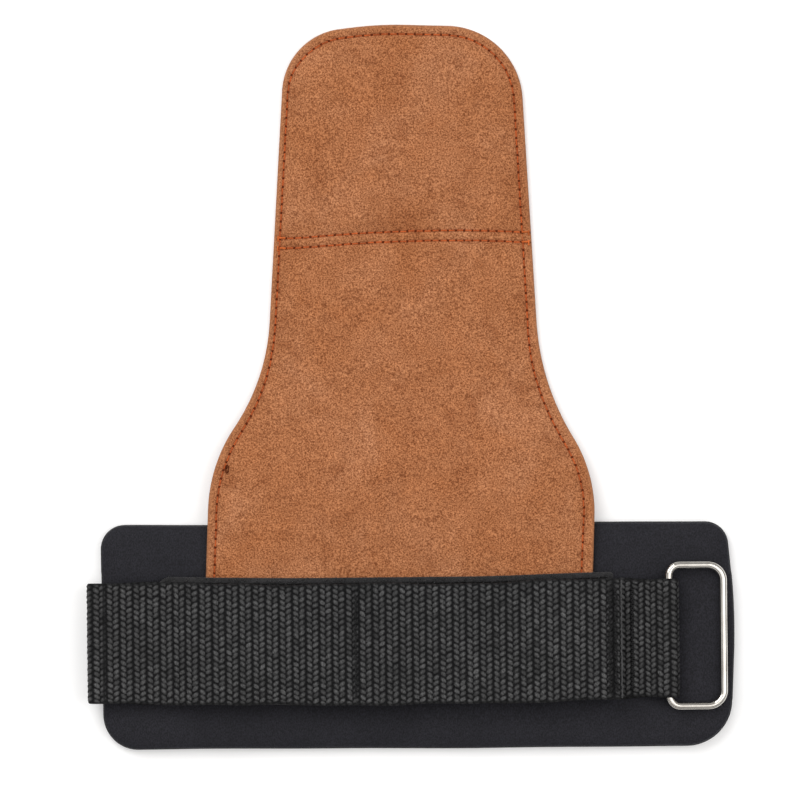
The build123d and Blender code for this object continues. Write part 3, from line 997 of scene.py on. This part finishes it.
def woven_piece(name, start, end, caps, coarse=None):
    """A length of webbing, from s = start to s = end, with its weave. caps lists its closed ends."""
    line, length = STRAP_LINE
    fine = RIB / 20
    s = np.arange(round(start / fine), round(end / fine) + 1) * fine
    s[0], s[-1] = start, end
    if coarse:
        keep = (s < coarse[0]) | (s > coarse[1]) | (np.arange(len(s)) % 6 == 0)
        s = s[keep]

    def place_at(s):
        return np.stack([np.interp(s, length, line[:, k]) for k in (0, 1)], 1)

    along = place_at(s)
    tangent = place_at(s + 0.2) - place_at(s - 0.2)
    tangent[0] = tangent[1]
    tangent[-1] = tangent[-2]
    tangent = unit(tangent)
    normal = np.stack([-tangent[:, 1], tangent[:, 0]], 1)
    flat = HALF_WIDE - RIM
    w = np.linspace(-flat, flat, KNOTS * 8 + 1)
    bend = np.radians(np.linspace(-90, 90, 7)[1:-1])
    rim_w = flat + RIM * np.cos(bend)
    section_w = np.concatenate([w, rim_w, w[::-1], -rim_w])
    flat_n = np.ones(len(w))
    section_n = np.concatenate([-flat_n, np.sin(bend), flat_n, -np.sin(bend)])
    grid_s, grid_w = np.meshgrid(s, section_w, indexing="ij")
    relief, tone = weave(grid_s, grid_w, 11)
    other, other_tone = weave(grid_s + RIB / 2, grid_w + KNOT / 2, 12)
    face = section_n[None]
    relief = np.where(face < 0, other, relief)
    tone = np.where(face < 0, other_tone, tone)
    pressed = np.zeros(len(s))
    for x, wide, lower, deep in ((-98.5, 0.4, 0, 0.6), (-19.4, 0.8, 11, 0.3), (61.3, 1.4, 11, 0.35)):
        there = np.exp(-(((along[:, 0] - x) / wide) ** 2)) * (along[:, 1] > lower)
        pressed = np.maximum(pressed, deep * there)
    relief = relief * (1 - pressed[:, None]) * (0.6 + 0.4 * smooth((flat + 0.1 - np.abs(grid_w)) / 0.6))
    if coarse:
        inner = (grid_s > coarse[0]) & (grid_s < coarse[1])
        relief = np.where(inner, 0.5, relief)
    half = WEBBING / 2
    depth = np.where(np.abs(face) < 1, half - 0.3, half - 0.5 + 0.5 * relief)
    wander = 0.22 * np.sin(s / 9.0) + 0.16 * np.sin(s / 3.7 + 1)
    drawn_in = 1 - 0.03 * smooth((along[:, 0] - 63) / 8)
    near_edge = smooth((np.abs(grid_w) - 14) / 5) * np.sign(grid_w)
    offset = depth * face
    place = np.empty((*grid_s.shape, 3))
    place[..., 0] = along[:, 0, None] + normal[:, 0, None] * offset
    place[..., 1] = drawn_in[:, None] * grid_w + wander[:, None] * near_edge
    place[..., 2] = along[:, 1, None] + normal[:, 1, None] * offset
    rows, sides = grid_s.shape
    index = np.arange(rows * sides).reshape(rows, sides)
    faces = [quads_between(index[:-1], index[1:])]
    m = len(w)
    r = len(bend)
    for cut in caps:
        ring = index[cut]
        lower = ring[:m]
        upper = ring[m + r : 2 * m + r][::-1]
        cap = np.stack([lower[:-1], lower[1:], upper[1:], upper[:-1]], -1)
        faces.append(cap[:, ::-1] if cut == 0 else cap)
        rims = ring[m - 1 : m + r + 1], np.append(ring[2 * m + r - 1 :], ring[0])
        faces.append(np.array([(ids[0], *pair) for ids in rims for pair in zip(ids[1:], ids[2:])]))
    verts = strap_to_row(place.reshape(-1, 3))
    return make_object(name, verts, faces, WEB, {"relief": relief.ravel(), "tone": tone.ravel()})


STRAP_LINE = strap_path()


def s_at(x, which):
    """The distance along the strap of its first (0) or last (-1) point at this x."""
    line, length = STRAP_LINE
    hits = np.where(np.abs(line[:, 0] - x) < 0.2)[0]
    return float(length[hits[which]])


s_fold_low, s_fold_high = s_at(-95, 0), s_at(-95, -1)
s_base_right, s_base_left = s_at(60, 0), s_at(-79, 0)
base = woven_piece("webbing_base", 0, s_fold_low, [0], (s_base_right, s_base_left))
fold = woven_piece("webbing_fold", s_fold_low, s_fold_high, [])
tail = woven_piece("webbing_tail", s_fold_high, float(STRAP_LINE[1][-1]), [-1])
finished(base, "webbing", "band", "strap_base")
finished(tail, "webbing", "tail", "strap_tail")
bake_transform(fold)


# ---- Ring
def make_ring():
    """Bent nickel-plated wire."""
    corners = [(0, -22.15), (17.2, -22.15), (17.2, 22.15), (0, 22.15)]
    path = filleted(corners, [3.4, 5, 5, 3.4], 0.45)
    out, up = path[:, 0] * cos(RING_LEAN), path[:, 0] * sin(RING_LEAN)
    line = np.column_stack([RING_X + out, RING_SHIFT + path[:, 1], RING_Z - up])
    ring = make_object("wire_ring", *tube(strap_to_row(line), 1.25, 36, closed=True), NICKEL)
    finished(ring, "ring", "ring", "ring")


make_ring()


# ---- Hook and loop tapes, and the threads that hold them
def strap_piece(name, mesh, material, body, finish, *nodes):
    """A piece drawn in the strap's own coordinates."""
    points, quads = mesh
    finished(make_object(name, strap_to_row(points), quads, material), finish, body, *nodes)


def many_tubes(lines, radius, sides):
    """Many short tubes of the same count of points at once. lines is (tube, point, xyz)."""
    along = unit(np.gradient(lines, axis=1))
    side = unit(np.cross(along, [0.31, 0.87, 0.38]))
    up = np.cross(along, side)
    angle = np.linspace(0, 2 * pi, sides, endpoint=False)
    ring = side[:, :, None] * np.cos(angle)[:, None] + up[:, :, None] * np.sin(angle)[:, None]
    verts = (lines[:, :, None] + radius * ring).reshape(-1, 3)
    index = np.arange(len(verts)).reshape(len(lines), lines.shape[1], sides)
    return verts, quads_between(index[:, :-1], index[:, 1:])


def tape_slab(node, ends, sides, bed, heights, material, corner, body):
    """A tape's woven backing, between two heights over its bed."""
    corners = [(ends[0], sides[1]), (ends[0], sides[0]), (ends[1], sides[0]), (ends[1], sides[1])]
    outline = filleted(corners, [corner, corner, 0.6, 0.6], 1.0)
    points, triangles, distance = plan_mesh(outline, [0.2, 0.6, 1.2], 1.3)
    level = ramped(bed, points[:, 0])
    fuzz = 0.1 * waves(*points.T, (1.9, 3.1), 9)
    top = level + heights[1] - 0.25 * np.exp(-distance / 0.4) + fuzz * (heights[1] > heights[0])
    low, plan = level + heights[0], (points, triangles)
    piece = slab(f"{node}_backing", plan, top, low, inward(outline), material, 0.15, 2, strap_to_row)
    finished(piece, node, body, node)


def make_loops():
    """Soft loops that stand up all over the loop tape."""
    count = 6500
    foot_x = rng.uniform(LOOP_ENDS[0] + 0.3, LOOP_ENDS[1] - 0.2, count)
    foot = np.column_stack([foot_x, rng.uniform(*LOOP_SIDES, count)])
    corner = (foot[:, 0] < LOOP_ENDS[0] + 3) & (np.abs(foot[:, 1] - 1.05) > 16.8)
    foot = foot[~corner]
    count = len(foot)
    t = np.linspace(0, 1, 6)
    turn = rng.uniform(0, 2 * pi, count)[:, None]
    reach = rng.uniform(0.35, 0.9, count)[:, None] * (t - 0.5)
    lean = rng.normal(0, 0.3, (count, 2))[:, None] * np.sin(pi * t)[None, :, None]
    rise = rng.uniform(0.3, 0.68, count)[:, None] * np.sin(pi * t) ** 0.8
    x = foot[:, :1] + reach * np.cos(turn) + lean[..., 0]
    y = foot[:, 1:] + reach * np.sin(turn) + lean[..., 1]
    z = ramped(LOOP_BED, foot[:, 0])[:, None] + 0.92 + rise
    strap_piece("soft_loops", many_tubes(np.stack([x, y, z], -1), 0.07, 3), LOOPS, "band", "loop_tape")


def make_hooks():
    """Rows of small hooks under the tail, all bent the same way in each row."""
    x = np.arange(HOOK_ENDS[0] + 1.8, HOOK_ENDS[1] - 1.6, 1.5)
    x, y = np.meshgrid(x, np.arange(-15.6, 15.7, 1.2), indexing="ij")
    way = np.where(np.arange(x.shape[1]) % 2 == 0, 1, -1) * np.ones_like(x)
    t = np.linspace(0, 1, 8)
    reach = 0.5 * np.sin(np.clip(t - 0.35, 0, 1) / 0.65 * pi * 0.8)
    drop = 0.78 * np.sin(np.clip(t, 0, 0.72) / 0.72 * pi / 2) - 0.28 * smooth((t - 0.72) / 0.28)
    x, y, way = (grid.ravel()[:, None] for grid in (x, y, way))
    lines = np.stack(np.broadcast_arrays(x + way * reach, y, HOOK_BACKING - drop), -1)
    strap_piece("small_hooks", many_tubes(lines, 0.11, 4), HOOKS, "tail", "hook_tape")


def run_of_thread(path, radius=0.3, arch=0.25):
    """Stitches from point to point of a path in 3-D."""
    return [thread_between(a, b, radius, 0.05, arch) for a, b in zip(path, path[1:])]


def sewn(name, threads, body, node):
    """A row of black thread on the strap."""
    strap_piece(name, joined(threads), BLACK_THREAD, body, "black_thread", node)


def make_tape_threads():
    """The frame round the loop tape, the rows over the tail, and the ring loop's bartack."""
    left, right = LOOP_ENDS[0] + 1.7, LOOP_ENDS[1] - 1.7
    low, high = LOOP_SIDES[0] + 1.6, LOOP_SIDES[1] - 1.6
    corners = [(left, low), (right, low), (right, high), (left, high)]
    frame_line = resampled(np.array(corners, float), 2.6)
    frame_line = np.vstack([frame_line, frame_line[:1]])
    path = np.column_stack([frame_line, ramped(LOOP_BED, frame_line[:, 0]) + 1.42])
    sewn("loop_tape_thread", run_of_thread(path, 0.26), "band", "loop_tape_stitching")

    threads = []
    for x, sway in ((-19.4, 0.12), (60.3, 0.5), (62.3, 0.5)):
        w = np.arange(-16.6, 16.7, 1.9 if sway < 0.2 else 1.25)
        path = np.column_stack([x + sway * (-1.0) ** np.arange(len(w)), w, np.full(len(w), TAIL_TOP)])
        threads += run_of_thread(path, 0.34, 0.3)
    sewn("tail_thread", threads, "tail", "hook_tape_stitching")

    w = np.arange(-16, 16.1, 0.62)
    path = np.column_stack([67.5 + 0.62 * (-1.0) ** np.arange(len(w)), w, np.full(len(w), 8.5)])
    sewn("bartack_thread", run_of_thread(path, 0.28, 0.12), "band", "ring_loop_bartack")


def make_melted_end():
    """The tail's cut end, sealed with heat into a thin smooth lip."""
    w = np.linspace(-18.6, 18.6, 90)
    waver = 0.07 * np.sin(w * 1.9) + 0.05 * np.sin(w * 0.7 + 1)
    for_top = np.column_stack([TAIL_END + 0.06 + waver, w, 13.95 + 0.06 * np.sin(w * 1.3)])
    for_low = np.column_stack([TAIL_END - 0.32 + waver, w, np.full(len(w), 12.95)])
    mesh = joined([tube(for_top, 0.2, 8, taper=30), tube(for_low, 0.36, 8, taper=30)])
    strap_piece("melted_tail_end", mesh, MELTED, "tail", "webbing")


tape_slab("loop_tape", LOOP_ENDS, LOOP_SIDES, LOOP_BED, (0.02, 0.98), LOOPS, 4.5, "band")
tape_slab("hook_tape", HOOK_ENDS, (-17, 17), TAIL_LOW, (-0.8, -0.02), HOOKS, 0.6, "tail")
make_loops()
make_hooks()
make_tape_threads()
make_melted_end()
